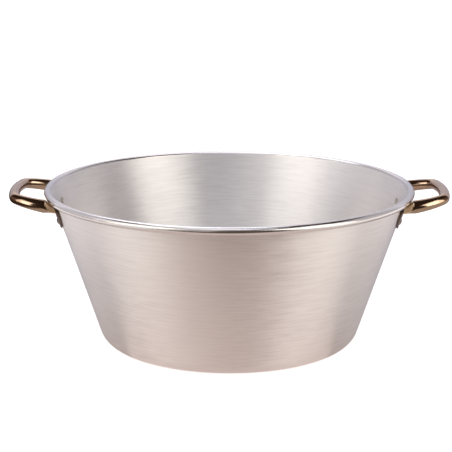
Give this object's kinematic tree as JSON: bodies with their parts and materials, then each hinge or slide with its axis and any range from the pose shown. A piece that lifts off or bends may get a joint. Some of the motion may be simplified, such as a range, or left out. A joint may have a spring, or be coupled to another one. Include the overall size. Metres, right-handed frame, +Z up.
{
  "type": "jam pan",
  "caption": "Wide, flared, spun metal preserving pan with a rolled rim, a flat base and a riveted loop handle at each side.",
  "frame": {"origin": "centre of the flat base's underside", "axes": "+Z up out of the open mouth; +X to the right-hand handle; +Y to the back"},
  "size_m": [0.438, 0.3684, 0.1581],
  "materials": {
    "pan_body": "spun and brushed round the axis, satin",
    "handle": "polished, warm bronze tone",
    "mounting_plate": "polished",
    "rivet": "bright, lightly brushed"
  },
  "bodies": {
    "root": {"pan_body": "pan_body", "handle_left": "handle", "handle_right": "handle", "mounting_plate_left": "mounting_plate", "mounting_plate_right": "mounting_plate", "rivet_left_upper_a": "rivet", "rivet_left_upper_b": "rivet", "rivet_left_lower_a": "rivet", "rivet_left_lower_b": "rivet", "rivet_right_upper_a": "rivet", "rivet_right_upper_b": "rivet", "rivet_right_lower_a": "rivet", "rivet_right_lower_b": "rivet"}
  },
  "joints": []
}
